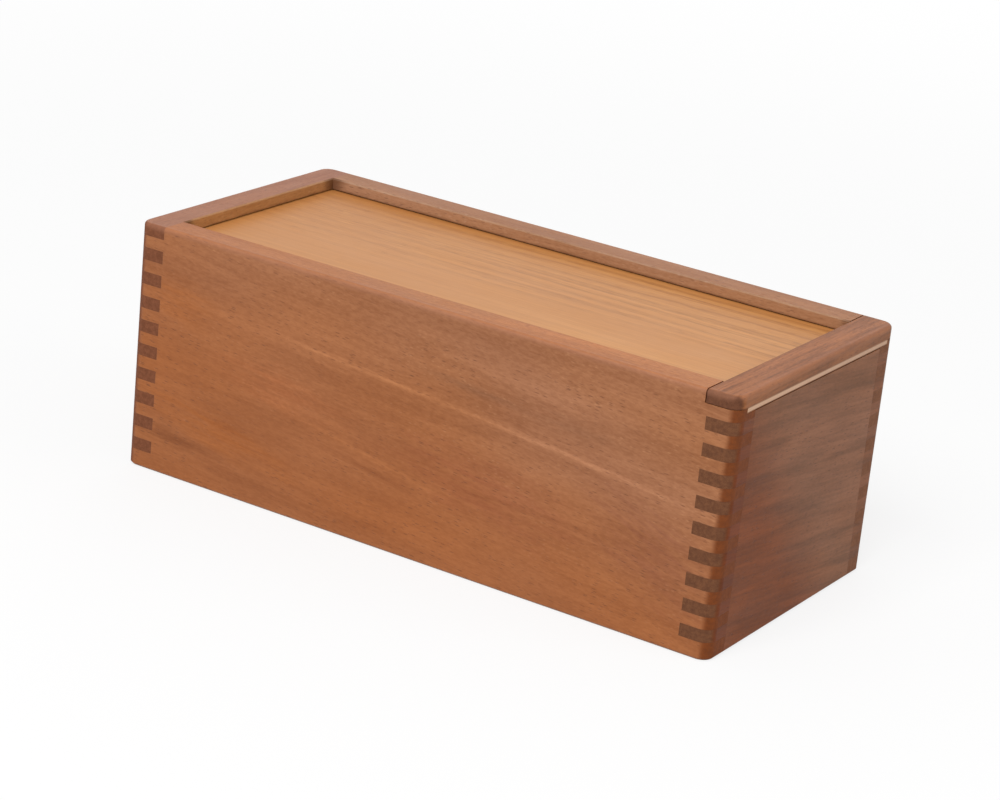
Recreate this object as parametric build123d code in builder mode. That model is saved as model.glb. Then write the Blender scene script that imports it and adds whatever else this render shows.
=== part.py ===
from build123d import *
import os

# A slide-top chess box: four comb-jointed boards, a bottom panel, a divider, two baize
# linings and a sliding lid, which is a thin panel with a rail glued on at its end.
# Millimetres. The origin is under the middle of the box, X runs along its length
# towards the end that the lid leaves by, Y to the back and Z up.

os.makedirs("parts", exist_ok=True)

# Overall size of the closed box
box_length = 279.0
box_width = 129.0
box_height = 105.0

# Boards and their comb joints
board = 13.0            # thickness of the four wall boards
finger = 5.14           # height of one finger, counted down from the rim
corner_radius = 5.5     # upright outer corners, seen from above
top_edge_radius = 1.6   # outer edges of the rim
base_edge_ease = 0.8    # outer edges under the box
rim_ease = 0.5          # bevel round the opening

# Sliding lid
rail_width = 14.2       # along the length of the box
rail_height = 5.25      # the rail takes the place of the top finger
panel_thickness = 2.0
panel_groove_depth = 6.5
panel_play = 0.25       # at each edge of the panel in its groove
panel_gap_above = 0.5   # in the groove, over the panel
panel_gap_below = 0.2
rail_gap_below = 0.25   # over the finger that the rail rests above
rail_gap_side = 0.1      # beside the shoulder of the long boards
end_board_gap = 0.5     # between the panel and the low end board under it
rail_ease = 0.5         # inner top edge of the rail

# Inside
bottom_thickness = 4.0
bottom_lift = 5.0       # underside of the bottom panel above the table
bottom_groove_depth = 5.0
bottom_play = 0.4       # edge of the panel to the groove's bottom
divider_thickness = 6.0
divider_groove_depth = 4.0
divider_play = 0.3      # end of the divider to the groove's bottom
divider_below_lid = 3.5
divider_ease = 1.0
baize_thickness = 1.0
baize_margin = 0.4      # cut smaller than the compartment, all round

# Levels that the pieces share
half_length = box_length / 2
half_width = box_width / 2
inner_half_length = half_length - board
inner_half_width = half_width - board
panel_top = box_height - rail_height
panel_bottom = panel_top - panel_thickness
bottom_top = bottom_lift + bottom_thickness
divider_top = panel_bottom - divider_below_lid
notch_length = rail_width + rail_gap_side
notch_depth = rail_height + rail_gap_below

# Fingers from the rim down. Even levels belong to the end boards, odd ones to the long
# boards, and the lowest also takes what is left of the height.
finger_count = int(box_height // finger)
finger_levels = []
for level in range(finger_count):
    level_top = box_height - level * finger
    level_bottom = 0.0 if level == finger_count - 1 else level_top - finger
    finger_levels.append((level, level_bottom, level_top - level_bottom))
end_levels = [entry for entry in finger_levels if entry[0] % 2 == 0]
long_levels = [entry for entry in finger_levels if entry[0] % 2 == 1]


# Outer form that every wall board and the rail are trimmed to
with BuildPart() as outer_form:
    with BuildSketch():
        RectangleRounded(box_length, box_width, corner_radius)
    extrude(amount=box_height)
    fillet(outer_form.edges().group_by(Axis.Z)[-1], radius=top_edge_radius)
    chamfer(outer_form.edges().group_by(Axis.Z)[0], length=base_edge_ease)

# Space that the lid's panel slides in: closed at the left, open at the right
with BuildPart() as lid_groove:
    groove_start = -inner_half_length - panel_groove_depth
    with BuildSketch(Plane.XY.offset(panel_bottom - panel_gap_below)):
        with Locations((groove_start, 0)):
            Rectangle(
                box_length,
                2 * (inner_half_width + panel_groove_depth),
                align=(Align.MIN, Align.CENTER),
            )
    extrude(amount=panel_gap_below + panel_thickness + panel_gap_above)

# Groove round the inside for the bottom panel
with BuildPart() as bottom_groove:
    with BuildSketch(Plane.XY.offset(bottom_lift)):
        Rectangle(
            2 * (inner_half_length + bottom_groove_depth),
            2 * (inner_half_width + bottom_groove_depth),
        )
    extrude(amount=bottom_thickness)

# Bevel round the opening at the rim
with BuildPart() as rim_bevel:
    with BuildSketch(Plane.XY.offset(box_height - rim_ease)):
        Rectangle(2 * inner_half_length, 2 * inner_half_width)
    extrude(amount=rim_ease, taper=-45)

# Upright grooves in the long boards that hold the divider
with BuildPart() as divider_groove:
    with BuildSketch(Plane.XY.offset(bottom_lift)):
        Rectangle(divider_thickness, 2 * (inner_half_width + divider_groove_depth))
    extrude(amount=divider_top - bottom_lift)

# Place that the lid's rail takes at the top of the right end
with BuildPart() as rail_notch:
    with BuildSketch(Plane.XY.offset(box_height - notch_depth)):
        with Locations((half_length - notch_length, 0)):
            Rectangle(2 * notch_length, 2 * box_width, align=(Align.MIN, Align.CENTER))
    extrude(amount=2 * notch_depth)


# Long boards, front and back
with BuildPart() as side_board_front:
    with BuildSketch():
        with Locations((0, -half_width)):
            Rectangle(box_length, board, align=(Align.CENTER, Align.MIN))
    extrude(amount=box_height)
    for level, bottom, height in end_levels:
        with BuildSketch(Plane.XY.offset(bottom)):
            with Locations((-half_length, -half_width), (inner_half_length, -half_width)):
                Rectangle(board, board, align=(Align.MIN, Align.MIN))
        extrude(amount=height, mode=Mode.SUBTRACT)
    add(outer_form.part, mode=Mode.INTERSECT)
    add(lid_groove.part, mode=Mode.SUBTRACT)
    add(bottom_groove.part, mode=Mode.SUBTRACT)
    add(divider_groove.part, mode=Mode.SUBTRACT)
    add(rim_bevel.part, mode=Mode.SUBTRACT)
    add(rail_notch.part, mode=Mode.SUBTRACT)
side_board_front.part.label = "side_board_front"
export_step(side_board_front.part, "parts/side_board_front.step")

with BuildPart() as side_board_back:
    add(mirror(side_board_front.part, about=Plane.XZ))
side_board_back.part.label = "side_board_back"
export_step(side_board_back.part, "parts/side_board_back.step")


# Left end board, up to the rim
with BuildPart() as end_board_left:
    with BuildSketch():
        with Locations((-half_length, 0)):
            Rectangle(board, box_width, align=(Align.MIN, Align.CENTER))
    extrude(amount=box_height)
    for level, bottom, height in long_levels:
        with BuildSketch(Plane.XY.offset(bottom)):
            with Locations((-half_length, -half_width), (-half_length, inner_half_width)):
                Rectangle(board, board, align=(Align.MIN, Align.MIN))
        extrude(amount=height, mode=Mode.SUBTRACT)
    add(outer_form.part, mode=Mode.INTERSECT)
    add(lid_groove.part, mode=Mode.SUBTRACT)
    add(bottom_groove.part, mode=Mode.SUBTRACT)
    add(rim_bevel.part, mode=Mode.SUBTRACT)
end_board_left.part.label = "end_board_left"
export_step(end_board_left.part, "parts/end_board_left.step")

# Right end board, low enough for the lid's panel to pass over it
with BuildPart() as end_board_right:
    with BuildSketch():
        with Locations((half_length, 0)):
            Rectangle(board, box_width, align=(Align.MAX, Align.CENTER))
    extrude(amount=panel_bottom - end_board_gap)
    for level, bottom, height in long_levels:
        with BuildSketch(Plane.XY.offset(bottom)):
            with Locations((inner_half_length, -half_width), (inner_half_length, inner_half_width)):
                Rectangle(board, board, align=(Align.MIN, Align.MIN))
        extrude(amount=height, mode=Mode.SUBTRACT)
    add(outer_form.part, mode=Mode.INTERSECT)
    add(bottom_groove.part, mode=Mode.SUBTRACT)
end_board_right.part.label = "end_board_right"
export_step(end_board_right.part, "parts/end_board_right.step")


# Bottom panel, held all round in its groove
with BuildPart() as bottom_panel:
    with BuildSketch(Plane.XY.offset(bottom_lift)):
        Rectangle(
            2 * (inner_half_length + bottom_groove_depth - bottom_play),
            2 * (inner_half_width + bottom_groove_depth - bottom_play),
        )
    extrude(amount=bottom_thickness)
bottom_panel.part.label = "bottom_panel"
export_step(bottom_panel.part, "parts/bottom_panel.step")

# Divider between the two compartments, standing on the bottom panel
with BuildPart() as divider:
    with BuildSketch(Plane.XY.offset(bottom_top)):
        Rectangle(
            divider_thickness,
            2 * (inner_half_width + divider_groove_depth - divider_play),
        )
    extrude(amount=divider_top - bottom_top)
    fillet(
        divider.edges().filter_by(Axis.Y).group_by(Axis.Z)[-1],
        radius=divider_ease,
    )
divider.part.label = "divider"
export_step(divider.part, "parts/divider.step")

# Baize linings, one in each compartment
compartment_length = inner_half_length - divider_thickness / 2
compartment_middle = divider_thickness / 2 + compartment_length / 2
for name, side in (("baize_left", -1), ("baize_right", 1)):
    with BuildPart() as baize:
        with BuildSketch(Plane.XY.offset(bottom_top)):
            with Locations((side * compartment_middle, 0)):
                Rectangle(
                    compartment_length - 2 * baize_margin,
                    2 * (inner_half_width - baize_margin),
                )
        extrude(amount=baize_thickness)
    baize.part.label = name
    export_step(baize.part, f"parts/{name}.step")


# Lid panel, from the left groove to flush with the right end
with BuildPart() as lid_panel:
    panel_start = -inner_half_length - panel_groove_depth + panel_play
    with BuildSketch(Plane.XY.offset(panel_bottom)):
        with Locations((panel_start, 0)):
            Rectangle(
                half_length - panel_start,
                2 * (inner_half_width + panel_groove_depth - panel_play),
                align=(Align.MIN, Align.CENTER),
            )
    extrude(amount=panel_thickness)
lid_panel.part.label = "lid_panel"
export_step(lid_panel.part, "parts/lid_panel.step")

# Rail on the lid's right end, which completes the comb and is what a hand pulls
with BuildPart() as lid_end_rail:
    with BuildSketch(Plane.XY.offset(panel_top)):
        with Locations((half_length, 0)):
            Rectangle(rail_width, box_width, align=(Align.MAX, Align.CENTER))
    extrude(amount=rail_height)
    add(outer_form.part, mode=Mode.INTERSECT)
    chamfer(
        lid_end_rail.edges().group_by(Axis.Z)[-1].sort_by(Axis.X)[0],
        length=rail_ease,
    )
lid_end_rail.part.label = "lid_end_rail"
export_step(lid_end_rail.part, "parts/lid_end_rail.step")

print("finger levels", finger_count)
print("lid travel until the panel leaves its grooves", half_length - panel_start)
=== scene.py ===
import math
import random

import bpy
from mathutils import Matrix, Vector


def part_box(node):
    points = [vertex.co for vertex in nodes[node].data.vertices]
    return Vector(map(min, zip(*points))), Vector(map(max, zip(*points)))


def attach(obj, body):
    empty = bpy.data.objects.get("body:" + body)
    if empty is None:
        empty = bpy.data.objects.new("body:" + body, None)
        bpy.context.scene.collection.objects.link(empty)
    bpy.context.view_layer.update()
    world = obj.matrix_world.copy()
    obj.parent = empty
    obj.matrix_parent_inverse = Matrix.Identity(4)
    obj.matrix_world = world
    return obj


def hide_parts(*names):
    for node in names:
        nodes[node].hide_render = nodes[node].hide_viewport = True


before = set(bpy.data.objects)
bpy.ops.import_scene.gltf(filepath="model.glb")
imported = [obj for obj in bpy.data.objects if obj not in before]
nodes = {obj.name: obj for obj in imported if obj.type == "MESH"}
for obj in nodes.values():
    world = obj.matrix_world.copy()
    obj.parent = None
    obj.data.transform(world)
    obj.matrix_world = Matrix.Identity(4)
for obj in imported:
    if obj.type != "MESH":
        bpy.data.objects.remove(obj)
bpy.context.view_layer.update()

# A slide-top chess box of reddish hardwood with comb-jointed corners and a golden lid.
# Metres, origin under the middle of the box, X along its length, Z up.

print("frame:", sorted(nodes))


# Camera

cameraLook = {
    "place": (0.5937, -0.9880, 0.4588),
    "aim": (0.0, 0.0, 0.050),
    "lean": 5.89,       # degrees that the picture leans to the left
    "lens": 108.4,      # mm, on a sensor 36 mm wide
}


def makeCamera(look):
    data = bpy.data.cameras.new("studioCamera")
    data.lens = look["lens"]
    data.sensor_width = 36.0
    data.clip_start, data.clip_end = 0.05, 50.0
    camera = bpy.data.objects.new("studioCamera", data)
    bpy.context.scene.collection.objects.link(camera)
    place, aim = Vector(look["place"]), Vector(look["aim"])
    back = (place - aim).normalized()
    side = Vector((0, 0, 1)).cross(back).normalized()
    up = back.cross(side)
    lean = math.radians(look["lean"])
    right = side * math.cos(lean) + up * math.sin(lean)
    axes = Matrix((right, back.cross(right), back)).transposed().to_4x4()
    camera.matrix_world = Matrix.Translation(place) @ axes
    bpy.context.scene.camera = camera


makeCamera(cameraLook)
print("camera at", cameraLook["place"])


# Small helpers for shader trees

millimetres = 1000.0    # in a metre


def feed(tree, socket, value):
    if isinstance(value, bpy.types.NodeSocket):
        tree.links.new(value, socket)
    elif socket.type == "RGBA" and len(value) == 3:
        socket.default_value = (*value, 1.0)
    else:
        socket.default_value = value


def addNode(tree, kind, settings=None, inputs=None):
    node = tree.nodes.new("ShaderNode" + kind)
    for name, value in (settings or {}).items():
        setattr(node, name, value)
    for key, value in (inputs or {}).items():
        feed(tree, node.inputs[key], value)
    return node


def calc(tree, operation, first, second=0.0, clamp=False):
    settings = {"operation": operation, "use_clamp": clamp}
    return addNode(tree, "Math", settings, {0: first, 1: second}).outputs[0]


def smooth(tree, value, low, high, atLow=0.0, atHigh=1.0):
    settings = {"interpolation_type": "SMOOTHSTEP"}
    inputs = {0: value, 1: low, 2: high, 3: atLow, 4: atHigh}
    return addNode(tree, "MapRange", settings, inputs).outputs[0]


def stretch(tree, place, along, across):
    inputs = {0: place, 1: (1.0 / along, 1.0 / across, 1.0 / across)}
    return addNode(tree, "VectorMath", {"operation": "MULTIPLY"}, inputs).outputs[0]


def cloud(tree, place, along, across, detail=2.0, rough=0.5, distortion=0.0):
    inputs = {
        "Vector": stretch(tree, place, along, across), "Scale": 1.0,
        "Detail": detail, "Roughness": rough, "Distortion": distortion,
    }
    return addNode(tree, "TexNoise", {}, inputs).outputs[0]


def cells(tree, place, along, across):
    inputs = {"Vector": stretch(tree, place, along, across), "Scale": 1.0}
    node = addNode(tree, "TexVoronoi", {}, inputs)
    return node.outputs["Distance"], node.outputs["Color"]


def tint(tree, factor, base, other, kind="MIX"):
    settings = {"data_type": "RGBA", "blend_type": kind}
    return addNode(tree, "Mix", settings, {0: factor, 6: base, 7: other}).outputs[2]


def newGroup(name, inputs, outputs):
    group = bpy.data.node_groups.new(name, "ShaderNodeTree")
    kinds = {"value": "NodeSocketFloat", "vector": "NodeSocketVector", "colour": "NodeSocketColor"}
    for label, kind in inputs:
        group.interface.new_socket(name=label, in_out="INPUT", socket_type=kinds[kind])
    for label, kind in outputs:
        group.interface.new_socket(name=label, in_out="OUTPUT", socket_type=kinds[kind])
    given = group.nodes.new("NodeGroupInput").outputs
    result = group.nodes.new("NodeGroupOutput").inputs
    return group, given, result


def useGroup(tree, group, inputs):
    node = tree.nodes.new("ShaderNodeGroup")
    node.node_tree = group
    for key, value in inputs.items():
        feed(tree, node.inputs[key], value)
    return node.outputs


# Node groups. Places are in millimetres with the fibres along X.

def makeGrainGroup():
    inputs = [
        ("Place", "vector"), ("Pith Depth", "value"), ("Pith Height", "value"),
        ("Pith Tilt", "value"), ("Pith Dive", "value"), ("Ring Spacing", "value"),
        ("Waviness", "value"),
    ]
    outputs = [
        ("Rings", "value"), ("Streaks", "value"), ("Ribbon", "value"),
        ("Grit", "value"), ("Pores", "value"), ("Flecks", "value"), ("Tone", "value"),
    ]
    group, given, result = newGroup("woodGrain", inputs, outputs)
    place = given["Place"]
    x, y, z = addNode(group, "SeparateXYZ", {}, {0: place}).outputs

    # growth rings: distance from a leaning pith line, pushed about by soft noise
    deep = calc(group, "ADD", calc(group, "MULTIPLY", x, given["Pith Dive"]), y)
    deep = calc(group, "SUBTRACT", deep, given["Pith Depth"])
    high = calc(group, "ADD", calc(group, "MULTIPLY", x, given["Pith Tilt"]), z)
    high = calc(group, "SUBTRACT", high, given["Pith Height"])
    square = calc(group, "ADD", calc(group, "MULTIPLY", deep, deep), calc(group, "MULTIPLY", high, high))
    sway = calc(group, "SUBTRACT", cloud(group, place, 70.0, 26.0, 2.5), 0.5)
    sway = calc(group, "MULTIPLY", sway, given["Waviness"])
    radius = calc(group, "ADD", calc(group, "SQRT", square), sway)
    phase = calc(group, "DIVIDE", radius, given["Ring Spacing"])
    ringNoise = addNode(
        group, "TexNoise", {"noise_dimensions": "1D"},
        {"W": phase, "Scale": 1.0, "Detail": 3.0, "Roughness": 0.6},
    ).outputs[0]
    rings = smooth(group, ringNoise, 0.25, 0.75)

    # fine streaks along the fibres, wide ribbons, short mottling and slow changes of tone
    streaks = smooth(group, cloud(group, place, 26.0, 1.1, 4.0, 0.6), 0.34, 0.66)
    ribbon = smooth(group, cloud(group, place, 70.0, 6.0, 2.5, 0.5, 0.6), 0.3, 0.7)
    grit = smooth(group, cloud(group, place, 2.6, 0.8, 2.0, 0.6), 0.32, 0.68)
    tone = smooth(group, cloud(group, place, 110.0, 42.0, 1.5), 0.3, 0.7)

    # open pores, thicker in some rings than in others
    nearest, pick = cells(group, place, 4.6, 0.62)
    chance = addNode(group, "SeparateColor", {}, {0: pick}).outputs[0]
    size = smooth(group, chance, 0.1, 1.0, 0.12, 0.34)
    pore = smooth(group, calc(group, "DIVIDE", nearest, size), 0.55, 1.0, 1.0, 0.0)
    pore = calc(group, "MULTIPLY", pore, smooth(group, ringNoise, 0.35, 0.65, 1.0, 0.45))

    # short pale flecks that gather in patches
    nearest, pick = cells(group, place, 2.6, 1.0)
    chance = addNode(group, "SeparateColor", {}, {0: pick}).outputs[0]
    fleck = smooth(group, nearest, 0.10, 0.42, 1.0, 0.0)
    fleck = calc(group, "MULTIPLY", fleck, smooth(group, chance, 0.35, 0.9))
    patch = smooth(group, cloud(group, place, 34.0, 14.0, 2.0), 0.42, 0.62)
    fleck = calc(group, "MULTIPLY", fleck, patch)
    made = {
        "Rings": rings, "Streaks": streaks, "Ribbon": ribbon, "Grit": grit,
        "Pores": pore, "Flecks": fleck, "Tone": tone,
    }
    for label, value in made.items():
        group.links.new(value, result[label])
    return group


def makeEndCutGroup():
    inputs = [("Place", "vector"), ("Facing", "vector")]
    outputs = [("Cut", "value"), ("Dots", "value"), ("Patches", "value")]
    group, given, result = newGroup("endCut", inputs, outputs)
    along = addNode(group, "SeparateXYZ", {}, {0: given["Facing"]}).outputs[0]
    cut = smooth(group, calc(group, "ABSOLUTE", along), 0.15, 0.6)
    nearest, pick = cells(group, given["Place"], 3.0, 0.42)
    group.links.new(cut, result["Cut"])
    group.links.new(smooth(group, nearest, 0.2, 0.42, 1.0, 0.0), result["Dots"])
    patches = cloud(group, given["Place"], 8.0, 1.6, 3.0, 0.6)
    group.links.new(smooth(group, patches, 0.3, 0.7), result["Patches"])
    return group


def makeCombGroup():
    inputs = [
        ("Position", "vector"), ("Half Length", "value"), ("Half Width", "value"),
        ("Height", "value"), ("Board", "value"), ("Finger", "value"), ("Line", "value"),
    ]
    group, given, result = newGroup("combSeams", inputs, [("Seam", "value"), ("Block", "value")])
    x, y, z = addNode(group, "SeparateXYZ", {}, {0: given["Position"]}).outputs
    line = given["Line"]
    level = calc(group, "DIVIDE", calc(group, "SUBTRACT", given["Height"], z), given["Finger"])
    toLevel = calc(group, "ABSOLUTE", calc(group, "SUBTRACT", level, calc(group, "ROUND", level)))
    toLevel = calc(group, "MULTIPLY", toLevel, given["Finger"])
    odd = calc(group, "GREATER_THAN", calc(group, "FLOORED_MODULO", level, 2.0), 1.0)
    even = calc(group, "SUBTRACT", 1.0, odd)

    # how far a point is inside the corner block that the fingers share
    shoulderX = calc(group, "SUBTRACT", given["Half Length"], given["Board"])
    shoulderY = calc(group, "SUBTRACT", given["Half Width"], given["Board"])
    pastX = calc(group, "SUBTRACT", calc(group, "ABSOLUTE", x), shoulderX)
    pastY = calc(group, "SUBTRACT", calc(group, "ABSOLUTE", y), shoulderY)
    inside = calc(group, "GREATER_THAN", calc(group, "MINIMUM", pastX, pastY), -0.1)
    group.links.new(inside, result["Block"])

    def nearLine(distance):
        return calc(group, "SUBTRACT", 1.0, calc(group, "DIVIDE", distance, line), clamp=True)

    tips = calc(group, "MULTIPLY", nearLine(calc(group, "ABSOLUTE", pastX)), even)
    sides = calc(group, "MULTIPLY", nearLine(calc(group, "ABSOLUTE", pastY)), odd)
    seam = calc(group, "MAXIMUM", nearLine(toLevel), calc(group, "MAXIMUM", tips, sides))
    # none on the rim or under the box, where a level is a whole face
    between = calc(group, "MINIMUM", level, calc(group, "SUBTRACT", z, 3.0))
    between = calc(group, "GREATER_THAN", between, 0.5)
    seam = calc(group, "MULTIPLY", calc(group, "MULTIPLY", seam, inside), between)
    group.links.new(seam, result["Seam"])
    return group


def makeWaxGroup():
    inputs = [("Place", "vector"), ("Roughness", "value"), ("Variation", "value")]
    group, given, result = newGroup("waxFinish", inputs, [("Roughness", "value"), ("Ripple", "value")])
    smear = cloud(group, given["Place"], 36.0, 14.0, 2.0)
    fine = cloud(group, given["Place"], 6.0, 1.2, 3.0)
    both = calc(group, "ADD", calc(group, "MULTIPLY", smear, 0.6), calc(group, "MULTIPLY", fine, 0.4))
    both = calc(group, "SUBTRACT", both, 0.5)
    change = calc(group, "MULTIPLY", both, given["Variation"])
    group.links.new(calc(group, "ADD", given["Roughness"], change, clamp=True), result["Roughness"])
    group.links.new(smear, result["Ripple"])
    return group


def makePatchGroup():
    # a soft streaky patch of figure that lies along the board, seen from its broad side
    inputs = [
        ("Place", "vector"), ("Middle", "vector"), ("Slope", "value"),
        ("Half Length", "value"), ("Half Height", "value"),
    ]
    group, given, result = newGroup("figurePatch", inputs, [("Mask", "value"), ("Streaks", "value")])
    away = addNode(group, "VectorMath", {"operation": "SUBTRACT"}, {0: given["Place"], 1: given["Middle"]})
    x, y, z = addNode(group, "SeparateXYZ", {}, {0: away.outputs[0]}).outputs
    rise = calc(group, "SUBTRACT", z, calc(group, "MULTIPLY", x, given["Slope"]))
    level = addNode(group, "CombineXYZ", {}, {0: x, 1: y, 2: rise}).outputs[0]
    along = calc(group, "DIVIDE", x, given["Half Length"])
    across = calc(group, "DIVIDE", rise, given["Half Height"])
    along, across = calc(group, "POWER", along, 2.0), calc(group, "POWER", across, 2.0)
    ragged = calc(group, "SUBTRACT", cloud(group, level, 20.0, 3.0, 3.0), 0.5)
    far = calc(group, "SQRT", calc(group, "ADD", along, across))
    far = calc(group, "ADD", far, calc(group, "MULTIPLY", ragged, 1.1))
    streaks = smooth(group, cloud(group, level, 30.0, 1.8, 3.0), 0.32, 0.66)
    group.links.new(smooth(group, far, 0.1, 1.0, 1.0, 0.0), result["Mask"])
    group.links.new(streaks, result["Streaks"])
    return group


def makeWearAndSheenGroup():
    # the outer edges of the rim, rubbed pale by wear, with a painted sheen on them
    inputs = [
        ("Position", "vector"), ("Half Length", "value"), ("Half Width", "value"), ("Height", "value"),
    ]
    group, given, result = newGroup("edgeWearAndSheen", inputs, [("Wear And Sheen", "value")])
    x, y, z = addNode(group, "SeparateXYZ", {}, {0: given["Position"]}).outputs
    fromEnd = calc(group, "SUBTRACT", given["Half Length"], calc(group, "ABSOLUTE", x))
    fromSide = calc(group, "SUBTRACT", given["Half Width"], calc(group, "ABSOLUTE", y))
    fromTop = calc(group, "SUBTRACT", given["Height"], z)
    near = calc(group, "ADD", calc(group, "MINIMUM", fromSide, fromEnd), fromTop)
    rubbed = calc(group, "SUBTRACT", cloud(group, given["Position"], 14.0, 9.0, 3.0, 0.6), 0.5)
    near = calc(group, "ADD", near, calc(group, "MULTIPLY", rubbed, 1.6))
    group.links.new(smooth(group, near, 1.0, 3.2, 1.0, 0.0), result["Wear And Sheen"])
    return group


def makeCornerShadeGroup():
    # painted shade in the corner that the inner walls make with the lid
    inputs = [
        ("Position", "vector"), ("Level", "value"), ("Inner Length", "value"), ("Inner Width", "value"),
    ]
    group, given, result = newGroup("cornerShade", inputs, [("Corner Shade", "value"), ("Above Lid", "value")])
    x, y, z = addNode(group, "SeparateXYZ", {}, {0: given["Position"]}).outputs
    above = calc(group, "SUBTRACT", z, given["Level"])
    toEnd = calc(group, "SUBTRACT", given["Inner Length"], calc(group, "ABSOLUTE", x))
    toSide = calc(group, "SUBTRACT", given["Inner Width"], calc(group, "ABSOLUTE", y))
    corner = calc(group, "DIVIDE", calc(group, "MAXIMUM", toEnd, toSide), 5.0)
    near = calc(group, "MINIMUM", above, corner)
    patchy = cloud(group, given["Position"], 34.0, 6.0, 3.0, 0.6)
    near = calc(group, "ADD", near, calc(group, "MULTIPLY", calc(group, "SUBTRACT", patchy, 0.5), 2.0))
    paintedShade = smooth(group, near, 0.1, 1.7, 1.0, 0.0)
    aboveLid = calc(group, "GREATER_THAN", above, -0.2)
    group.links.new(calc(group, "MULTIPLY", paintedShade, aboveLid), result["Corner Shade"])
    group.links.new(aboveLid, result["Above Lid"])
    return group


grainGroup = makeGrainGroup()
endCutGroup = makeEndCutGroup()
combGroup = makeCombGroup()
waxGroup = makeWaxGroup()
patchGroup = makePatchGroup()
wearAndSheenGroup = makeWearAndSheenGroup()
cornerShadeGroup = makeCornerShadeGroup()
print("node groups:", [group.name for group in bpy.data.node_groups])


# Materials

def newMaterial(name):
    material = bpy.data.materials.new(name)
    material.use_nodes = True
    tree = material.node_tree
    tree.nodes.clear()
    shader = addNode(tree, "BsdfPrincipled")
    output = addNode(tree, "OutputMaterial")
    tree.links.new(shader.outputs[0], output.inputs["Surface"])
    return material, tree, shader


def fibrePlace(tree, fibre, shift, slope=0.0):
    # the object's own coordinates in millimetres, turned so that the fibres run along X
    lean = math.atan(slope)
    turn = (0.0, lean, 0.0) if fibre == "X" else (-lean, 0.0, -math.pi / 2)
    spot = addNode(tree, "TexCoord")
    place = addNode(tree, "Mapping", {"vector_type": "POINT"}, {
        "Vector": spot.outputs["Object"], "Location": shift,
        "Rotation": turn, "Scale": (millimetres, millimetres, millimetres),
    }).outputs[0]
    facing = addNode(tree, "Mapping", {"vector_type": "VECTOR"}, {
        "Vector": spot.outputs["Normal"], "Rotation": (0.0, 0.0, turn[2]),
    }).outputs[0]
    position = addNode(tree, "VectorMath", {"operation": "SCALE"}, {
        0: spot.outputs["Object"], "Scale": millimetres,
    }).outputs[0]
    return place, facing, position


def facesInward(tree, position):
    # a mask of the upright faces that look towards the box's middle
    normal = addNode(tree, "TexCoord").outputs["Normal"]
    level = addNode(tree, "VectorMath", {"operation": "MULTIPLY"}, {0: position, 1: (1.0, 1.0, 0.0)})
    outward = addNode(tree, "VectorMath", {"operation": "DOT_PRODUCT"}, {0: level.outputs[0], 1: normal})
    return smooth(tree, outward.outputs["Value"], -20.0, -2.0, 1.0, 0.0)


boxSize = {"Half Length": 139.5, "Half Width": 64.5, "Height": 105.0}      # millimetres
combJoint = {**boxSize, "Board": 13.0, "Finger": 5.14, "Line": 0.10}
innerCorner = {"Level": 99.75, "Inner Length": 126.5, "Inner Width": 51.5}

boardFinish = {
    "light": (0.420, 0.151, 0.054),
    "dark": (0.281, 0.089, 0.028),
    "warmTone": (1.0, 0.88, 0.62),
    "sheenTone": (1.02, 1.25, 1.75),     # painted sheen: where the colour turns greyer and paler
    "paintedSheen": (0.0, 0.0, 0.004), "sheenStrength": 0.6,
    "insideLightTone": (1.08, 1.38, 1.75),   # painted light: the inner faces, made paler and greyer
    "stripLightTone": (1.05, 1.35, 1.7),     # painted light: the strip of them that shows over the lid
    "topLightTone": (1.0, 1.0, 1.0),
    "cornerToneAndShade": (1.0, 1.0, 1.0),
    "fleck": (0.560, 0.270, 0.130),
    "wornAndSheen": (0.345, 0.146, 0.082), "wearAndSheen": 0.40,
    "paintedShade": (0.110, 0.040, 0.014), "paintedShadeStrength": 0.75,
    "endLight": (0.202, 0.048, 0.007),
    "endDark": (0.148, 0.035, 0.005),
    "pore": (0.120, 0.036, 0.014),
    "seam": (0.090, 0.030, 0.014), "seamStrength": 0.7,
    "roughness": 0.46, "unevenness": 0.22, "endRoughness": 0.25, "shine": 0.24,
    "poreDepth": 0.00008,
    "slope": 0.0, "lean": (0.03, 0.05),
    "ringSpacing": 9.0, "waviness": 14.0, "warmth": 0.6,
    "share": {"Rings": 0.26, "Streaks": 0.20, "Ribbon": 0.26, "Grit": 0.26},
    "sheenGrit": 0.16, "flecks": 0.36, "pores": 0.6, "endStrength": 0.95,
    "patches": [],
}


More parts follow.
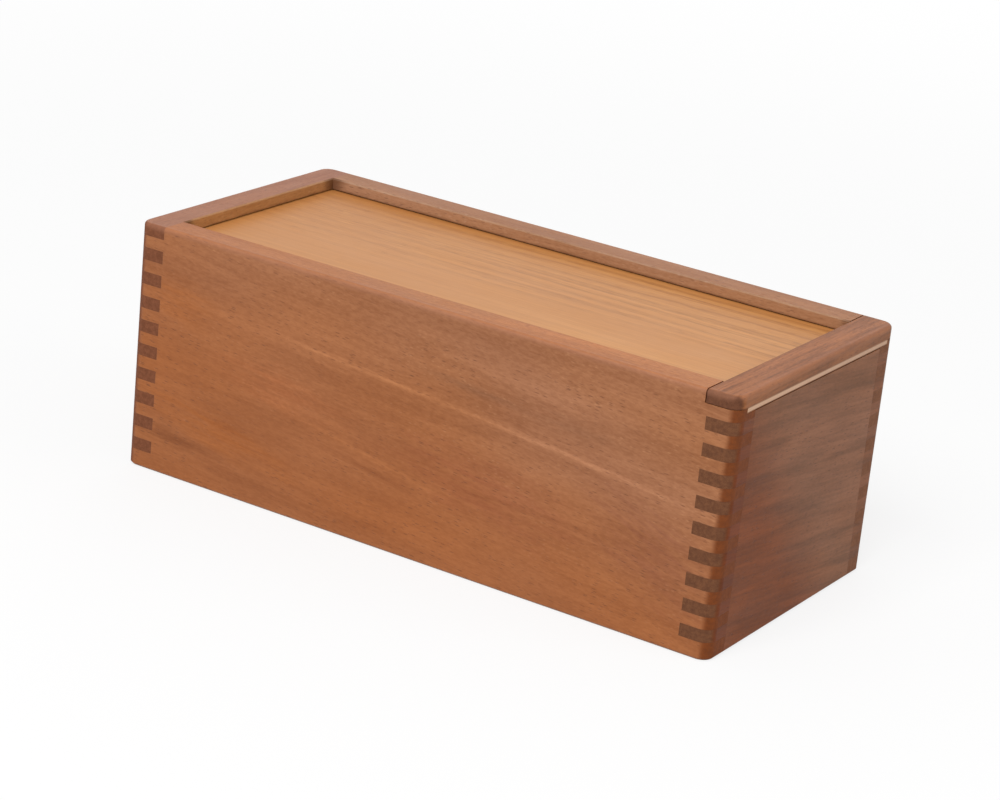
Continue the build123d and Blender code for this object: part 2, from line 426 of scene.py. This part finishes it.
def boardMaterial(name, look):
    look = {**boardFinish, **look}
    material, tree, shader = newMaterial(name)
    place, facing, position = fibrePlace(tree, look["fibre"], look["shift"], look["slope"])
    grain = useGroup(tree, grainGroup, {
        "Place": place, "Pith Depth": look["pith"][0], "Pith Height": look["pith"][1],
        "Pith Tilt": look["lean"][0], "Pith Dive": look["lean"][1],
        "Ring Spacing": look["ringSpacing"], "Waviness": look["waviness"],
    })
    end = useGroup(tree, endCutGroup, {"Place": place, "Facing": facing})
    comb = useGroup(tree, combGroup, {"Position": position, **combJoint})
    wearAndSheen = useGroup(tree, wearAndSheenGroup, {"Position": position, **boxSize})["Wear And Sheen"]
    corner = useGroup(tree, cornerShadeGroup, {"Position": position, **innerCorner})
    wax = useGroup(tree, waxGroup, {
        "Place": place, "Roughness": look["roughness"], "Variation": look["unevenness"],
    })

    # long grain
    # painted sheen: a mask that rises along the look's sheen direction turns the colour greyer and paler
    # and brings out more grit
    paintedSheen = addNode(tree, "VectorMath", {"operation": "DOT_PRODUCT"}, {0: position, 1: look["paintedSheen"]})
    paintedSheen = smooth(tree, paintedSheen.outputs["Value"], 0.0, 1.0)
    shade = calc(tree, "SUBTRACT", grain["Grit"], 0.5)
    shade = calc(tree, "MULTIPLY", shade, calc(tree, "MULTIPLY", paintedSheen, look["sheenGrit"]))
    for effect, amount in look["share"].items():
        shade = calc(tree, "ADD", calc(tree, "MULTIPLY", grain[effect], amount), shade)
    colour = tint(tree, shade, look["light"], look["dark"])
    warm = calc(tree, "MULTIPLY", grain["Tone"], look["warmth"])
    colour = tint(tree, warm, colour, look["warmTone"], "MULTIPLY")
    sheenShare = calc(tree, "MULTIPLY", paintedSheen, look["sheenStrength"])
    colour = tint(tree, sheenShare, colour, look["sheenTone"], "MULTIPLY")
    for patch in look["patches"]:
        spot = useGroup(tree, patchGroup, {
            "Place": position, "Middle": patch["middle"], "Slope": patch["slope"],
            "Half Length": patch["size"][0], "Half Height": patch["size"][1],
        })
        amount = calc(tree, "ADD", calc(tree, "MULTIPLY", spot["Streaks"], 0.7), 0.3)
        amount = calc(tree, "MULTIPLY", calc(tree, "MULTIPLY", spot["Mask"], amount), patch["strength"])
        colour = tint(tree, amount, colour, patch["tone"], "MULTIPLY")
    flecks = calc(tree, "MULTIPLY", grain["Flecks"], smooth(tree, paintedSheen, 0.0, 1.0, 0.3, 1.0))
    colour = tint(tree, calc(tree, "MULTIPLY", flecks, look["flecks"]), colour, look["fleck"])
    colour = tint(tree, calc(tree, "MULTIPLY", grain["Pores"], look["pores"]), colour, look["pore"])
    # painted light: faces that look up are tinted to stand in for the light and sheen that they catch
    up = smooth(tree, addNode(tree, "SeparateXYZ", {}, {0: facing}).outputs[2], 0.5, 0.95)
    colour = tint(tree, up, colour, look["topLightTone"], "MULTIPLY")
    # painted light: the faces that look into the box are tinted paler and greyer, standing in for the light
    # that reaches them there
    inward = facesInward(tree, position)
    wallLightTone = tint(tree, corner["Above Lid"], look["insideLightTone"], look["stripLightTone"])
    colour = tint(tree, inward, colour, wallLightTone, "MULTIPLY")
    # painted shade darkens the inner walls next to the lid and in their corners
    paintedShade = calc(tree, "MULTIPLY", calc(tree, "MULTIPLY", corner["Corner Shade"], inward), look["paintedShadeStrength"])
    colour = tint(tree, paintedShade, colour, look["paintedShade"])
    # the corner blocks: on the right end partly the wood's redder tone, partly painted shade for the dark
    # reflection that the corner catches
    colour = tint(tree, comb["Block"], colour, look["cornerToneAndShade"], "MULTIPLY")

    # fibres cut across
    endColour = tint(tree, end["Patches"], look["endLight"], look["endDark"])
    endColour = tint(tree, calc(tree, "MULTIPLY", end["Dots"], 0.5), endColour, look["pore"])
    cut = calc(tree, "MULTIPLY", end["Cut"], look["endStrength"])
    colour = tint(tree, cut, colour, endColour)
    # wear and painted sheen on the rim's outer edges
    colour = tint(tree, calc(tree, "MULTIPLY", wearAndSheen, look["wearAndSheen"]), colour, look["wornAndSheen"])
    colour = tint(tree, calc(tree, "MULTIPLY", comb["Seam"], look["seamStrength"]), colour, look["seam"])
    feed(tree, shader.inputs["Base Color"], colour)

    endRough = calc(tree, "MULTIPLY", end["Cut"], look["endRoughness"])
    feed(tree, shader.inputs["Roughness"], calc(tree, "ADD", wax["Roughness"], endRough, clamp=True))
    height = calc(tree, "SUBTRACT", calc(tree, "MULTIPLY", grain["Streaks"], 0.25), grain["Pores"])
    height = calc(tree, "ADD", height, calc(tree, "MULTIPLY", wax["Ripple"], 0.6))
    height = calc(tree, "SUBTRACT", height, calc(tree, "MULTIPLY", comb["Seam"], 0.8))
    bump = addNode(tree, "Bump", {}, {"Height": height, "Strength": 0.6, "Distance": look["poreDepth"]})
    feed(tree, shader.inputs["Normal"], bump.outputs[0])
    shader.inputs["Specular IOR Level"].default_value = look["shine"]
    return material


frontBoard = {
    "fibre": "X", "shift": (31.0, 0.0, 0.0), "pith": (52.0, 20.0), "lean": (0.03, 0.12),
    "slope": -0.085, "waviness": 16.0,
    # painted sheen, greyer and paler towards the upper right
    "paintedSheen": (0.0025, 0.0, 0.0085), "sheenStrength": 0.95, "topLightTone": (1.11, 1.01, 0.74),
    "patches": [
        # pale growth line across the middle, with a darker streak over it
        {"middle": (-8.0, 0.0, 70.2), "slope": -0.085, "size": (76.0, 2.1), "strength": 1.0,
         "tone": (1.40, 1.52, 1.62)},
        {"middle": (78.0, 0.0, 62.6), "slope": -0.105, "size": (70.0, 2.0), "strength": 1.0,
         "tone": (1.40, 1.52, 1.62)},
        {"middle": (26.0, 0.0, 77.5), "slope": -0.10, "size": (36.0, 3.6), "strength": 0.7,
         "tone": (0.70, 0.75, 0.86)},
        {"middle": (72.0, 0.0, 74.0), "slope": -0.06, "size": (34.0, 6.0), "strength": 0.5,
         "tone": (0.80, 0.85, 0.92)},
        # orange and dark streaks low on the left
        {"middle": (-92.0, 0.0, 25.0), "slope": -0.18, "size": (52.0, 11.0), "strength": 0.8,
         "tone": (1.16, 1.05, 0.72)},
        {"middle": (-118.0, 0.0, 17.0), "slope": -0.05, "size": (34.0, 5.5), "strength": 0.9,
         "tone": (0.62, 0.55, 0.48)},
        {"middle": (-116.0, 0.0, 76.0), "slope": -0.12, "size": (28.0, 13.0), "strength": 0.7,
         "tone": (1.12, 1.02, 0.76)},
        {"middle": (-16.0, 0.0, 31.0), "slope": -0.21, "size": (50.0, 3.0), "strength": 0.8,
         "tone": (0.78, 0.72, 0.68)},
        {"middle": (-26.0, 0.0, 38.4), "slope": -0.19, "size": (60.0, 2.2), "strength": 0.8,
         "tone": (1.25, 1.30, 1.30)},
        # steep dark figure low on the right
        {"middle": (113.0, 0.0, 34.0), "slope": -0.42, "size": (40.0, 30.0), "strength": 0.75,
         "tone": (0.78, 0.71, 0.82)},
        # redder low in the middle, paler above that on the left
        {"middle": (38.0, 0.0, 38.0), "slope": -0.12, "size": (62.0, 20.0), "strength": 0.8,
         "tone": (0.88, 0.78, 0.84)},
        {"middle": (-64.0, 0.0, 52.0), "slope": -0.12, "size": (40.0, 11.0), "strength": 0.9,
         "tone": (1.20, 1.15, 1.12)},
        # the rim, paler towards the right
        {"middle": (70.0, 0.0, 105.6), "slope": 0.0, "size": (86.0, 1.9), "strength": 0.8,
         "tone": (1.20, 1.14, 1.05)},
    ],
}
backBoard = {
    "fibre": "X", "shift": (-210.0, 47.0, 12.0), "pith": (-30.0, 150.0), "lean": (-0.02, 0.05),
    "slope": 0.04, "ringSpacing": 8.0,
    "topLightTone": (0.93, 1.11, 1.35), "stripLightTone": (1.04, 1.53, 2.36),
    "endLight": (0.225, 0.090, 0.040), "endDark": (0.165, 0.062, 0.027),
    "patches": [
        {"middle": (40.0, 0.0, 40.0), "slope": 0.10, "size": (90.0, 12.0), "strength": 0.7,
         "tone": (0.72, 0.70, 0.72)},
        {"middle": (-70.0, 0.0, 66.0), "slope": 0.06, "size": (70.0, 9.0), "strength": 0.6,
         "tone": (1.22, 1.25, 1.20)},
    ],
}
leftEndBoard = {
    "fibre": "Y", "shift": (400.0, 90.0, 30.0), "pith": (60.0, 40.0), "slope": 0.05,
    "endLight": (0.220, 0.074, 0.033), "endDark": (0.154, 0.049, 0.020),
    "ringSpacing": 7.0, "waviness": 12.0,
    "topLightTone": (0.90, 1.04, 1.60), "stripLightTone": (1.17, 1.62, 1.75),
}
rightEndBoard = {
    "fibre": "Y", "shift": (-520.0, 10.0, -40.0), "pith": (90.0, -30.0), "slope": -0.12,
    "light": (0.264, 0.068, 0.014), "dark": (0.116, 0.030, 0.0055),
    # painted sheen, paler and greyer towards the back and the top, darker and redder near the front corner
    # and low down
    "paintedSheen": (0.0, 0.020, 0.016), "sheenStrength": 1.0, "sheenTone": (1.30, 2.10, 5.1),
    "cornerToneAndShade": (0.87, 0.75, 0.62), "sheenGrit": 0.0, "shine": 0.12,
    "endLight": (0.192, 0.080, 0.038), "endDark": (0.133, 0.055, 0.028),
    "fleck": (0.300, 0.115, 0.055), "wornAndSheen": (0.330, 0.130, 0.060), "pore": (0.090, 0.030, 0.014),
    "ringSpacing": 11.0, "waviness": 20.0, "warmth": 0.4, "flecks": 0.3,
    "share": {"Rings": 0.36, "Streaks": 0.20, "Ribbon": 0.42, "Grit": 0.16},
}
lidRail = {
    "fibre": "Y", "shift": (730.0, -60.0, 80.0), "pith": (30.0, 60.0), "slope": 0.02,
    "light": (0.428, 0.153, 0.049), "dark": (0.197, 0.069, 0.0235),
    "topLightTone": (0.98, 1.02, 1.24), "sheenStrength": 0.2, "shine": 0.16,
    "endLight": (0.158, 0.061, 0.031), "endDark": (0.105, 0.040, 0.021),
    "fleck": (0.420, 0.170, 0.085), "wornAndSheen": (0.345, 0.150, 0.085), "pore": (0.090, 0.030, 0.014),
    "ringSpacing": 6.0, "waviness": 8.0, "warmth": 0.3,
    "share": {"Rings": 0.40, "Streaks": 0.42, "Ribbon": 0.28, "Grit": 0.18},
}
dividerBoard = {
    "fibre": "Y", "shift": (120.0, 300.0, -90.0), "pith": (50.0, 10.0), "slope": 0.04,
    "light": (0.455, 0.190, 0.074), "dark": (0.295, 0.112, 0.040),
    "ringSpacing": 8.0, "waviness": 12.0,
}


def dress(node, material):
    mesh = nodes[node].data
    mesh.materials.clear()
    mesh.materials.append(material)


dress("side_board_front", boardMaterial("frontBoardWood", frontBoard))
dress("side_board_back", boardMaterial("backBoardWood", backBoard))
dress("end_board_left", boardMaterial("leftEndWood", leftEndBoard))
dress("end_board_right", boardMaterial("rightEndWood", rightEndBoard))
dress("lid_end_rail", boardMaterial("lidRailWood", lidRail))
dress("divider", boardMaterial("dividerWood", dividerBoard))
print("boards dressed")


lidPanelLook = {
    "shift": (90.0, 11.0, 0.0),
    "light": (0.574, 0.257, 0.078),
    "dark": (0.285, 0.106, 0.027),
    "deep": (0.450, 0.176, 0.046),
    "gold": (0.670, 0.325, 0.095),
    "core": (0.669, 0.403, 0.243),
    "coreFade": (0.86, 0.85, 0.86),     # towards the back
    "skin": (0.370, 0.168, 0.070),      # the two outer plies, cut across
    "lineGap": 7.3, "firstLine": -2.3,      # mm, the bands of growth lines that run along the panel
    "plainEdge": -18.0,     # y in mm, in front of which the lines are almost gone
    "ripple": 3.2,          # mm, how far short waves push the lines
    "lineStrength": 0.57, "fineStrength": 0.20, "poreStrength": 0.50, "goldStrength": 0.35,
    "roughness": 0.44, "unevenness": 0.18, "shine": 0.4,
    "thickness": 2.0, "top": 99.75,
}


def lidPanelMaterial(look):
    material, tree, shader = newMaterial("lidPanelWood")
    place, facing, position = fibrePlace(tree, "X", look["shift"])
    end = useGroup(tree, endCutGroup, {"Place": place, "Facing": facing})
    wax = useGroup(tree, waxGroup, {
        "Place": place, "Roughness": look["roughness"], "Variation": look["unevenness"],
    })
    x, y, z = addNode(tree, "SeparateXYZ", {}, {0: position}).outputs

    # bands of growth lines along the panel, with finer lines between them
    sway = calc(tree, "SUBTRACT", cloud(tree, place, 230.0, 30.0, 1.0), 0.5)
    fan = calc(tree, "MULTIPLY", calc(tree, "MULTIPLY", x, y), -0.00035)
    across = calc(tree, "ADD", calc(tree, "ADD", y, fan), calc(tree, "MULTIPLY", sway, 9.0))
    ripple = calc(tree, "SUBTRACT", cloud(tree, place, 15.0, 9.0, 2.0), 0.5)
    across = calc(tree, "ADD", across, calc(tree, "MULTIPLY", ripple, look["ripple"]))
    phase = calc(tree, "DIVIDE", calc(tree, "SUBTRACT", across, look["firstLine"]), look["lineGap"])
    wave = calc(tree, "COSINE", calc(tree, "MULTIPLY", phase, 2 * math.pi))
    uneven = addNode(
        tree, "TexNoise", {"noise_dimensions": "1D"}, {"W": phase, "Scale": 2.4, "Detail": 3.0},
    ).outputs[0]
    line = calc(tree, "SUBTRACT", calc(tree, "MULTIPLY", uneven, 1.2), calc(tree, "MULTIPLY", wave, 0.17))
    line = smooth(tree, line, 0.42, 0.86)
    broken = smooth(tree, cloud(tree, place, 22.0, 1.5, 3.0, 0.6), 0.34, 0.58, 0.25, 1.15)
    line = calc(tree, "MULTIPLY", line, broken)
    bold = smooth(tree, y, look["plainEdge"], 6.0, 0.10, 1.0)
    side = smooth(tree, calc(tree, "ADD", x, calc(tree, "MULTIPLY", y, 0.9)), -70.0, 110.0, 0.82, 1.0)
    line = calc(tree, "MULTIPLY", calc(tree, "MULTIPLY", line, bold), side)

    fine = smooth(tree, cloud(tree, place, 90.0, 1.1, 3.0, 0.6), 0.38, 0.62)
    tone = smooth(tree, cloud(tree, place, 120.0, 36.0, 1.5), 0.3, 0.7)
    colour = tint(tree, calc(tree, "MULTIPLY", line, look["lineStrength"]), look["light"], look["dark"])
    colour = tint(tree, calc(tree, "MULTIPLY", fine, look["fineStrength"]), colour, look["dark"])
    colour = tint(tree, calc(tree, "MULTIPLY", tone, 0.35), colour, look["deep"])
    colour = tint(tree, smooth(tree, x, -130.0, 40.0, 0.47, 0.0), colour, look["deep"])
    colour = tint(tree, smooth(tree, y, 14.0, 46.0, 0.0, 0.22), colour, look["deep"])

    # short dark pores, mostly in the bands, and golden flecks
    nearest, pick = cells(tree, place, 6.5, 0.8)
    chance = addNode(tree, "SeparateColor", {}, {0: pick}).outputs[0]
    size = smooth(tree, chance, 0.2, 1.0, 0.1, 0.42)
    dots = smooth(tree, calc(tree, "DIVIDE", nearest, size), 0.5, 1.0, 1.0, 0.0)
    dots = calc(tree, "MULTIPLY", dots, smooth(tree, line, 0.0, 0.5, 0.25, 1.0))
    colour = tint(tree, calc(tree, "MULTIPLY", dots, look["poreStrength"]), colour, look["dark"])
    gold = smooth(tree, cloud(tree, place, 9.0, 0.9, 3.0, 0.6), 0.52, 0.72)
    gold = calc(tree, "MULTIPLY", gold, smooth(tree, y, look["plainEdge"], 6.0, 0.1, look["goldStrength"]))
    colour = tint(tree, gold, colour, look["gold"])

    # three plies at the panel's ends
    depth = calc(tree, "DIVIDE", calc(tree, "SUBTRACT", look["top"], z), look["thickness"])
    middle = calc(tree, "ABSOLUTE", calc(tree, "SUBTRACT", depth, 0.5))
    core = smooth(tree, middle, 0.29, 0.39, 1.0, 0.0)
    edge = tint(tree, core, look["skin"], look["core"])
    edge = tint(tree, smooth(tree, y, -30.0, 40.0, 0.0, 1.0), edge, look["coreFade"], "MULTIPLY")
    edge = tint(tree, calc(tree, "MULTIPLY", end["Dots"], 0.25), edge, look["skin"])
    colour = tint(tree, end["Cut"], colour, edge)
    feed(tree, shader.inputs["Base Color"], colour)
    feed(tree, shader.inputs["Roughness"], wax["Roughness"])
    height = calc(tree, "ADD", calc(tree, "MULTIPLY", line, 0.5), dots)
    height = calc(tree, "SUBTRACT", calc(tree, "MULTIPLY", wax["Ripple"], 0.5), height)
    bump = addNode(tree, "Bump", {}, {"Height": height, "Strength": 0.5, "Distance": 0.00006})
    feed(tree, shader.inputs["Normal"], bump.outputs[0])
    shader.inputs["Specular IOR Level"].default_value = look["shine"]
    return material


dress("lid_panel", lidPanelMaterial(lidPanelLook))
print("lid panel dressed")


bottomLook = {
    "shift": (20.0, -80.0, 5.0),
    "light": (0.600, 0.420, 0.260),
    "dark": (0.440, 0.280, 0.150),
    "roughness": 0.62, "unevenness": 0.15,
}


def bottomMaterial(look):
    material, tree, shader = newMaterial("bottomPlywood")
    place = fibrePlace(tree, "X", look["shift"])[0]
    wax = useGroup(tree, waxGroup, {
        "Place": place, "Roughness": look["roughness"], "Variation": look["unevenness"],
    })
    figure = cloud(tree, place, 70.0, 16.0, 3.0, 0.5, 1.2)
    bands = smooth(tree, addNode(tree, "TexNoise", {"noise_dimensions": "1D"}, {
        "W": calc(tree, "MULTIPLY", figure, 14.0), "Scale": 1.0, "Detail": 2.0,
    }).outputs[0], 0.3, 0.7)
    fine = smooth(tree, cloud(tree, place, 14.0, 0.6, 3.0), 0.35, 0.7)
    shade = calc(tree, "ADD", calc(tree, "MULTIPLY", bands, 0.45), calc(tree, "MULTIPLY", fine, 0.25))
    colour = tint(tree, shade, look["light"], look["dark"])
    feed(tree, shader.inputs["Base Color"], colour)
    feed(tree, shader.inputs["Roughness"], wax["Roughness"])
    bump = addNode(tree, "Bump", {}, {"Height": fine, "Strength": 0.4, "Distance": 0.00008})
    feed(tree, shader.inputs["Normal"], bump.outputs[0])
    return material


dress("bottom_panel", bottomMaterial(bottomLook))
print("bottom dressed")


# Baize linings

baizeLook = {
    "light": (0.045, 0.200, 0.090),
    "dark": (0.018, 0.105, 0.045),
    "sheen": 0.35, "sheenRoughness": 0.5, "shine": 0.2, "fuzzDepth": 0.00025,
    "columns": 110, "rows": 92,     # squares of the sheet's mesh
    "wander": 0.00022,              # how far the scissors wandered
    "swell": 0.00012,               # unevenness of the nap
    "edgeRound": 0.0004,
}


def baizeMaterial(look):
    material, tree, shader = newMaterial("baizeFelt")
    place = fibrePlace(tree, "X", (0.0, 0.0, 0.0))[0]
    fuzz = cloud(tree, place, 0.35, 0.35, 3.0, 0.65)
    fibres = cloud(tree, place, 1.6, 0.5, 3.0, 0.6, 2.0)
    nap = cloud(tree, place, 26.0, 18.0, 2.0)
    shade = calc(tree, "ADD", calc(tree, "MULTIPLY", fuzz, 0.5), calc(tree, "MULTIPLY", fibres, 0.35))
    shade = calc(tree, "ADD", shade, calc(tree, "MULTIPLY", nap, 0.35))
    colour = tint(tree, smooth(tree, shade, 0.4, 0.85), look["light"], look["dark"])
    feed(tree, shader.inputs["Base Color"], colour)
    feed(tree, shader.inputs["Roughness"], smooth(tree, fuzz, 0.3, 0.7, 0.86, 1.0))
    height = calc(tree, "ADD", fuzz, calc(tree, "MULTIPLY", fibres, 0.6))
    bump = addNode(tree, "Bump", {}, {"Height": height, "Strength": 0.8, "Distance": look["fuzzDepth"]})
    feed(tree, shader.inputs["Normal"], bump.outputs[0])
    shader.inputs["Sheen Weight"].default_value = look["sheen"]
    shader.inputs["Sheen Roughness"].default_value = look["sheenRoughness"]
    shader.inputs["Specular IOR Level"].default_value = look["shine"]
    return material


def baizeSheet(name, node, look, material, seed):
    low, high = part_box(node)
    chance = random.Random(seed)
    sizeX, sizeY, thickness = high.x - low.x, high.y - low.y, high.z - low.z
    waves = [(chance.uniform(20, 60), chance.uniform(20, 60), chance.uniform(0, 6.28)) for wave in range(5)]
    snips = [(chance.uniform(60, 160), chance.uniform(0, 6.28)) for snip in range(4)]

    def uneven(x, y):
        return sum(math.sin(a * x + b * y + c) for a, b, c in waves) / len(waves)

    def edgeCut(along):
        return sum(math.sin(a * along + c) for a, c in snips) / len(snips)

    # steps across the sheet, closer together at its rounded edges
    def steps(count, size):
        inner = [look["edgeRound"] + (size - 2 * look["edgeRound"]) * i / count for i in range(count + 1)]
        outer = look["edgeRound"] * 0.3
        return [0.0, outer] + inner + [size - outer, size]

    def topHeight(fromEdge):
        inside = min(fromEdge, look["edgeRound"]) / look["edgeRound"]
        return thickness * (0.5 + 0.5 * math.sqrt(max(0.0, 1 - (1 - inside) ** 2)))

    spotsX = steps(look["columns"], sizeX)
    spotsY = steps(look["rows"], sizeY)
    pull = look["wander"] * 0.5
    vertices, faces = [], []
    for level in ("top", "under"):
        for v in spotsY:
            for u in spotsX:
                fromEdge = min(u, sizeX - u, v, sizeY - v)
                x = low.x + u + (1 - 2 * u / sizeX) * pull * (1 + edgeCut(v))
                y = low.y + v + (1 - 2 * v / sizeY) * pull * (1 + edgeCut(u + 1))
                height = topHeight(fromEdge)
                if level == "top":
                    z = low.z + height - look["swell"] * (0.5 + 0.5 * uneven(x, y))
                else:
                    z = low.z + (thickness - height) * 0.5
                vertices.append((x, y, z))
    wide, deep = len(spotsX), len(spotsY)
    half = wide * deep
    for j in range(deep - 1):
        for i in range(wide - 1):
            a = j * wide + i
            faces.append((a, a + 1, a + wide + 1, a + wide))
            faces.append((half + a, half + a + wide, half + a + wide + 1, half + a + 1))
    rim = list(range(wide))
    rim += [j * wide + wide - 1 for j in range(1, deep)]
    rim += [(deep - 1) * wide + i for i in range(wide - 2, -1, -1)]
    rim += [j * wide for j in range(deep - 2, 0, -1)]
    for here, after in zip(rim, rim[1:] + rim[:1]):
        faces.append((here, half + here, half + after, after))
    mesh = bpy.data.meshes.new(name)
    mesh.from_pydata(vertices, [], faces)
    mesh.validate()
    mesh.polygons.foreach_set("use_smooth", [True] * len(mesh.polygons))
    mesh.materials.append(material)
    sheet = bpy.data.objects.new(name, mesh)
    bpy.context.scene.collection.objects.link(sheet)
    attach(sheet, "box")
    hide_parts(node)
    return sheet


baizeCloth = baizeMaterial(baizeLook)
baizeSheet("baizeLiningLeft", "baize_left", baizeLook, baizeCloth, 3)
baizeSheet("baizeLiningRight", "baize_right", baizeLook, baizeCloth, 8)
print("baize linings laid")


# Floor, world and lamps

floorLook = {
    "size": 14.0, "drop": 0.0002,
    "paper": (0.86, 0.86, 0.86),        # as the camera, gloss and glass see it
    "bounce": (0.46, 0.455, 0.45),      # as it lights the box, like a table top
    "whitening": 0.78,
    "fade": (0.3, 1.3),                 # metres from the box, where the floor turns white
}


def backgroundRays(tree):
    # rays from the camera, and those that gloss and glass send on, see the plain background
    path = addNode(tree, "LightPath").outputs
    seen = calc(tree, "MAXIMUM", path["Is Camera Ray"], path["Is Glossy Ray"])
    return calc(tree, "MAXIMUM", seen, path["Is Transmission Ray"])


def makeFloor(look):
    half = look["size"] / 2
    mesh = bpy.data.meshes.new("studioFloor")
    corners = [(-half, -half, 0), (half, -half, 0), (half, half, 0), (-half, half, 0)]
    mesh.from_pydata([(x, y, -look["drop"]) for x, y, z in corners], [], [(0, 1, 2, 3)])
    material = bpy.data.materials.new("studioPaper")
    material.use_nodes = True
    tree = material.node_tree
    tree.nodes.clear()
    seen = backgroundRays(tree)
    colour = tint(tree, seen, look["bounce"], look["paper"])
    paper = addNode(tree, "BsdfDiffuse", {}, {"Color": colour}).outputs[0]
    white = addNode(tree, "Emission", {}, {"Color": (1.0, 1.0, 1.0), "Strength": 1.0}).outputs[0]
    spot = addNode(tree, "TexCoord").outputs["Object"]
    away = addNode(tree, "VectorMath", {"operation": "LENGTH"}, {0: spot}).outputs["Value"]
    fade = smooth(tree, away, look["fade"][0], look["fade"][1], look["whitening"], 1.0)
    share = calc(tree, "MULTIPLY", seen, fade)
    both = addNode(tree, "MixShader", {}, {0: share, 1: paper, 2: white}).outputs[0]
    output = addNode(tree, "OutputMaterial")
    tree.links.new(both, output.inputs["Surface"])
    mesh.materials.append(material)
    floor = bpy.data.objects.new("studioFloor", mesh)
    bpy.context.scene.collection.objects.link(floor)


worldLook = {"white": (1.0, 1.0, 1.0), "ambient": 0.5}


def makeWorld(look):
    world = bpy.data.worlds.new("studioWorld")
    bpy.context.scene.world = world
    world.use_nodes = True
    tree = world.node_tree
    tree.nodes.clear()
    seen = backgroundRays(tree)
    strength = calc(tree, "ADD", calc(tree, "MULTIPLY", seen, 1.0 - look["ambient"]), look["ambient"])
    sky = addNode(tree, "Background", {}, {"Color": look["white"], "Strength": strength})
    output = addNode(tree, "OutputWorld")
    tree.links.new(sky.outputs[0], output.inputs["Surface"])


lampAim = (0.0, 0.0, 0.05)
lampLook = {
    "keyLamp": {"place": (0.25, -1.65, 1.84), "size": (1.5, 1.3), "power": 46.0},
    "rightLamp": {"place": (1.9, 0.5, 0.9), "size": (1.2, 1.2), "power": 8.0},
    # fills the back and the left end, without a reflection on the lid
    "backLamp": {"place": (-0.9, 1.9, 0.42), "size": (1.2, 0.7), "power": 9.0, "glossy": False},
}


def makeLamps(lamps):
    for name, look in lamps.items():
        data = bpy.data.lights.new(name, "AREA")
        data.shape = "RECTANGLE"
        data.size, data.size_y = look["size"]
        data.energy = look["power"]
        lamp = bpy.data.objects.new(name, data)
        lamp.location = look["place"]
        towards = Vector(lampAim) - Vector(look["place"])
        lamp.rotation_euler = towards.to_track_quat("-Z", "Y").to_euler()
        lamp.visible_camera = False
        lamp.visible_glossy = look.get("glossy", True)
        bpy.context.scene.collection.objects.link(lamp)


makeFloor(floorLook)
makeWorld(worldLook)
makeLamps(lampLook)
bpy.context.scene.view_settings.view_transform = "Standard"
print("floor, world and lamps made")
